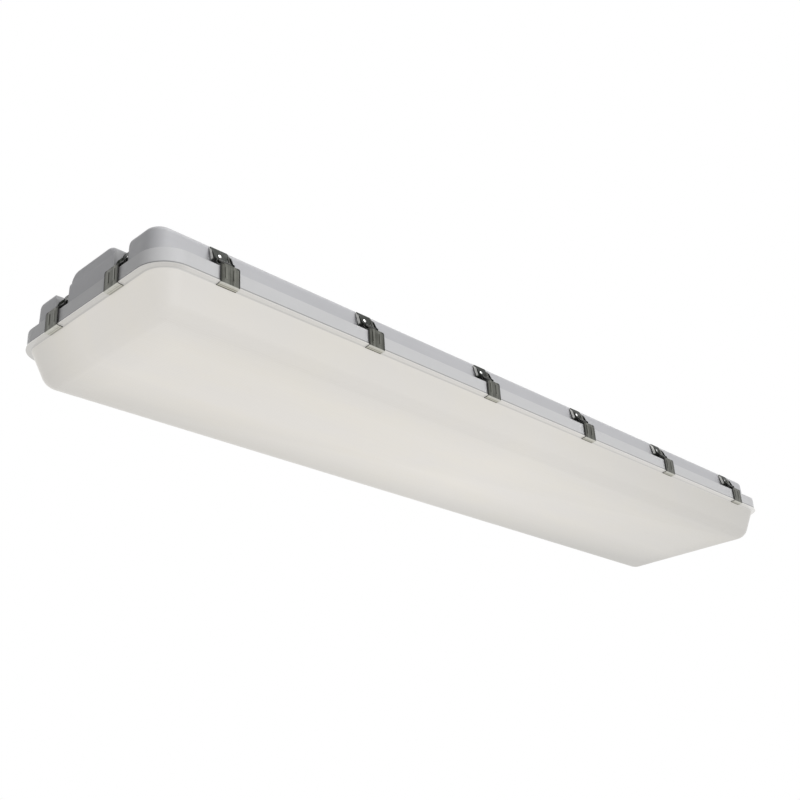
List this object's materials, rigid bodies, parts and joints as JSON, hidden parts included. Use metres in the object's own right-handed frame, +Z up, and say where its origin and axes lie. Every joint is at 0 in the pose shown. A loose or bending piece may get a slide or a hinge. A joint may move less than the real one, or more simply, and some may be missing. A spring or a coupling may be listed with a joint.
{
  "type": "vapor tight ceiling light",
  "caption": "Long sealed ceiling light: moulded grey housing, frosted clamped diffuser, hinged draw latches all round, LED gear on a tray inside, ceiling brackets and conduit hub.",
  "frame": {"origin": "in the ceiling plane, at the centre of the pattern of the four ceiling slots", "axes": "+X along the fixture's length towards the conduit hub, +Y across its width, +Z up to the ceiling"},
  "size_m": [1.309, 0.291, 0.125],
  "materials": {
    "housing_moulding": "light grey glass-filled polyester moulding, fine satin texture",
    "lens_plastic": "frosted white translucent diffuser, faint ribs inside",
    "seal_foam": "dark poured foam seal",
    "seal_rubber": "black sealing rubber",
    "stainless": "plain mill-finish stainless sheet",
    "zinc_steel": "zinc plated",
    "white_enamel": "white reflector enamel on sheet steel",
    "white_board": "white solder mask",
    "led_phosphor": "yellow phosphor over small white packages",
    "white_nylon": "white nylon",
    "driver_case": "plain painted sheet case",
    "wire_sheath": "smooth wire insulation",
    "cast_zinc": "dull die-cast metal"
  },
  "bodies": {
    "fixture": {"housing": "housing_moulding", "housing_gasket": "seal_foam", "lens": "lens_plastic", "latch_brackets": "stainless", "latch_pins": "stainless", "latch_rivets": "stainless", "gear_tray": "white_enamel", "tray_screws": "zinc_steel", "led_board_1": "white_board", "led_board_2": "white_board", "led_board_3": "white_board", "led_board_4": "white_board", "led_packages": "led_phosphor", "board_connectors": "white_nylon", "board_screws": "zinc_steel", "led_driver_1": "driver_case", "led_driver_2": "driver_case", "driver_screws": "zinc_steel", "terminal_block": "white_nylon", "supply_wires": "wire_sheath", "led_wires": "wire_sheath", "mounting_bracket_1": "stainless", "mounting_bracket_2": "stainless", "bracket_bolts": "stainless", "bracket_seals": "seal_rubber", "conduit_hub": "cast_zinc", "hub_gasket": "seal_rubber", "hub_locknut": "zinc_steel"},
    "lever_01": {"latch_lever_01": "stainless"},
    "hook_01": {"latch_hook_01": "stainless"},
    "lever_02": {"latch_lever_02": "stainless"},
    "hook_02": {"latch_hook_02": "stainless"},
    "lever_03": {"latch_lever_03": "stainless"},
    "hook_03": {"latch_hook_03": "stainless"},
    "lever_04": {"latch_lever_04": "stainless"},
    "hook_04": {"latch_hook_04": "stainless"},
    "lever_05": {"latch_lever_05": "stainless"},
    "hook_05": {"latch_hook_05": "stainless"},
    "lever_06": {"latch_lever_06": "stainless"},
    "hook_06": {"latch_hook_06": "stainless"},
    "lever_07": {"latch_lever_07": "stainless"},
    "hook_07": {"latch_hook_07": "stainless"},
    "lever_08": {"latch_lever_08": "stainless"},
    "hook_08": {"latch_hook_08": "stainless"},
    "lever_09": {"latch_lever_09": "stainless"},
    "hook_09": {"latch_hook_09": "stainless"},
    "lever_10": {"latch_lever_10": "stainless"},
    "hook_10": {"latch_hook_10": "stainless"},
    "lever_11": {"latch_lever_11": "stainless"},
    "hook_11": {"latch_hook_11": "stainless"},
    "lever_12": {"latch_lever_12": "stainless"},
    "hook_12": {"latch_hook_12": "stainless"},
    "lever_13": {"latch_lever_13": "stainless"},
    "hook_13": {"latch_hook_13": "stainless"},
    "lever_14": {"latch_lever_14": "stainless"},
    "hook_14": {"latch_hook_14": "stainless"},
    "lever_15": {"latch_lever_15": "stainless"},
    "hook_15": {"latch_hook_15": "stainless"},
    "lever_16": {"latch_lever_16": "stainless"},
    "hook_16": {"latch_hook_16": "stainless"}
  },
  "joints": [
    {"name": "lever_01_turn", "type": "hinge", "parent": "fixture", "child": "lever_01", "pos_m": [-0.555, -0.1355, -0.0538], "axis": [1, 0, 0], "range_deg": [0, 110]},
    {"name": "hook_01_turn", "type": "hinge", "parent": "lever_01", "child": "hook_01", "pos_m": [-0.555, -0.1335, -0.046], "axis": [1, 0, 0], "range_deg": [-110, 0]},
    {"name": "lever_02_turn", "type": "hinge", "parent": "fixture", "child": "lever_02", "pos_m": [-0.333, -0.1355, -0.0538], "axis": [1, 0, 0], "range_deg": [0, 110]},
    {"name": "hook_02_turn", "type": "hinge", "parent": "lever_02", "child": "hook_02", "pos_m": [-0.333, -0.1335, -0.046], "axis": [1, 0, 0], "range_deg": [-110, 0]},
    {"name": "lever_03_turn", "type": "hinge", "parent": "fixture", "child": "lever_03", "pos_m": [-0.111, -0.1355, -0.0538], "axis": [1, 0, 0], "range_deg": [0, 110]},
    {"name": "hook_03_turn", "type": "hinge", "parent": "lever_03", "child": "hook_03", "pos_m": [-0.111, -0.1335, -0.046], "axis": [1, 0, 0], "range_deg": [-110, 0]},
    {"name": "lever_04_turn", "type": "hinge", "parent": "fixture", "child": "lever_04", "pos_m": [0.111, -0.1355, -0.0538], "axis": [1, 0, 0], "range_deg": [0, 110]},
    {"name": "hook_04_turn", "type": "hinge", "parent": "lever_04", "child": "hook_04", "pos_m": [0.111, -0.1335, -0.046], "axis": [1, 0, 0], "range_deg": [-110, 0]},
    {"name": "lever_05_turn", "type": "hinge", "parent": "fixture", "child": "lever_05", "pos_m": [0.333, -0.1355, -0.0538], "axis": [1, 0, 0], "range_deg": [0, 110]},
    {"name": "hook_05_turn", "type": "hinge", "parent": "lever_05", "child": "hook_05", "pos_m": [0.333, -0.1335, -0.046], "axis": [1, 0, 0], "range_deg": [-110, 0]},
    {"name": "lever_06_turn", "type": "hinge", "parent": "fixture", "child": "lever_06", "pos_m": [0.555, -0.1355, -0.0538], "axis": [1, 0, 0], "range_deg": [0, 110]},
    {"name": "hook_06_turn", "type": "hinge", "parent": "lever_06", "child": "hook_06", "pos_m": [0.555, -0.1335, -0.046], "axis": [1, 0, 0], "range_deg": [-110, 0]},
    {"name": "lever_07_turn", "type": "hinge", "parent": "fixture", "child": "lever_07", "pos_m": [0.638, -0.0595, -0.0538], "axis": [0, 1, 0], "range_deg": [0, 110]},
    {"name": "hook_07_turn", "type": "hinge", "parent": "lever_07", "child": "hook_07", "pos_m": [0.636, -0.0595, -0.046], "axis": [0, 1, 0], "range_deg": [-110, 0]},
    {"name": "lever_08_turn", "type": "hinge", "parent": "fixture", "child": "lever_08", "pos_m": [0.638, 0.0595, -0.0538], "axis": [0, 1, 0], "range_deg": [0, 110]},
    {"name": "hook_08_turn", "type": "hinge", "parent": "lever_08", "child": "hook_08", "pos_m": [0.636, 0.0595, -0.046], "axis": [0, 1, 0], "range_deg": [-110, 0]},
    {"name": "lever_09_turn", "type": "hinge", "parent": "fixture", "child": "lever_09", "pos_m": [0.555, 0.1355, -0.0538], "axis": [-1, 0, 0], "range_deg": [0, 110]},
    {"name": "hook_09_turn", "type": "hinge", "parent": "lever_09", "child": "hook_09", "pos_m": [0.555, 0.1335, -0.046], "axis": [-1, 0, 0], "range_deg": [-110, 0]},
    {"name": "lever_10_turn", "type": "hinge", "parent": "fixture", "child": "lever_10", "pos_m": [0.333, 0.1355, -0.0538], "axis": [-1, 0, 0], "range_deg": [0, 110]},
    {"name": "hook_10_turn", "type": "hinge", "parent": "lever_10", "child": "hook_10", "pos_m": [0.333, 0.1335, -0.046], "axis": [-1, 0, 0], "range_deg": [-110, 0]},
    {"name": "lever_11_turn", "type": "hinge", "parent": "fixture", "child": "lever_11", "pos_m": [0.111, 0.1355, -0.0538], "axis": [-1, 0, 0], "range_deg": [0, 110]},
    {"name": "hook_11_turn", "type": "hinge", "parent": "lever_11", "child": "hook_11", "pos_m": [0.111, 0.1335, -0.046], "axis": [-1, 0, 0], "range_deg": [-110, 0]},
    {"name": "lever_12_turn", "type": "hinge", "parent": "fixture", "child": "lever_12", "pos_m": [-0.111, 0.1355, -0.0538], "axis": [-1, 0, 0], "range_deg": [0, 110]},
    {"name": "hook_12_turn", "type": "hinge", "parent": "lever_12", "child": "hook_12", "pos_m": [-0.111, 0.1335, -0.046], "axis": [-1, 0, 0], "range_deg": [-110, 0]},
    {"name": "lever_13_turn", "type": "hinge", "parent": "fixture", "child": "lever_13", "pos_m": [-0.333, 0.1355, -0.0538], "axis": [-1, 0, 0], "range_deg": [0, 110]},
    {"name": "hook_13_turn", "type": "hinge", "parent": "lever_13", "child": "hook_13", "pos_m": [-0.333, 0.1335, -0.046], "axis": [-1, 0, 0], "range_deg": [-110, 0]},
    {"name": "lever_14_turn", "type": "hinge", "parent": "fixture", "child": "lever_14", "pos_m": [-0.555, 0.1355, -0.0538], "axis": [-1, 0, 0], "range_deg": [0, 110]},
    {"name": "hook_14_turn", "type": "hinge", "parent": "lever_14", "child": "hook_14", "pos_m": [-0.555, 0.1335, -0.046], "axis": [-1, 0, 0], "range_deg": [-110, 0]},
    {"name": "lever_15_turn", "type": "hinge", "parent": "fixture", "child": "lever_15", "pos_m": [-0.638, 0.0595, -0.0538], "axis": [0, -1, 0], "range_deg": [0, 110]},
    {"name": "hook_15_turn", "type": "hinge", "parent": "lever_15", "child": "hook_15", "pos_m": [-0.636, 0.0595, -0.046], "axis": [0, -1, 0], "range_deg": [-110, 0]},
    {"name": "lever_16_turn", "type": "hinge", "parent": "fixture", "child": "lever_16", "pos_m": [-0.638, -0.0595, -0.0538], "axis": [0, -1, 0], "range_deg": [0, 110]},
    {"name": "hook_16_turn", "type": "hinge", "parent": "lever_16", "child": "hook_16", "pos_m": [-0.636, -0.0595, -0.046], "axis": [0, -1, 0], "range_deg": [-110, 0]}
  ],
  "couplings": [
    {"joint": "hook_01_turn", "follows": "lever_01_turn", "ratio": -1},
    {"joint": "hook_02_turn", "follows": "lever_02_turn", "ratio": -1},
    {"joint": "hook_03_turn", "follows": "lever_03_turn", "ratio": -1},
    {"joint": "hook_04_turn", "follows": "lever_04_turn", "ratio": -1},
    {"joint": "hook_05_turn", "follows": "lever_05_turn", "ratio": -1},
    {"joint": "hook_06_turn", "follows": "lever_06_turn", "ratio": -1},
    {"joint": "hook_07_turn", "follows": "lever_07_turn", "ratio": -1},
    {"joint": "hook_08_turn", "follows": "lever_08_turn", "ratio": -1},
    {"joint": "hook_09_turn", "follows": "lever_09_turn", "ratio": -1},
    {"joint": "hook_10_turn", "follows": "lever_10_turn", "ratio": -1},
    {"joint": "hook_11_turn", "follows": "lever_11_turn", "ratio": -1},
    {"joint": "hook_12_turn", "follows": "lever_12_turn", "ratio": -1},
    {"joint": "hook_13_turn", "follows": "lever_13_turn", "ratio": -1},
    {"joint": "hook_14_turn", "follows": "lever_14_turn", "ratio": -1},
    {"joint": "hook_15_turn", "follows": "lever_15_turn", "ratio": -1},
    {"joint": "hook_16_turn", "follows": "lever_16_turn", "ratio": -1}
  ]
}
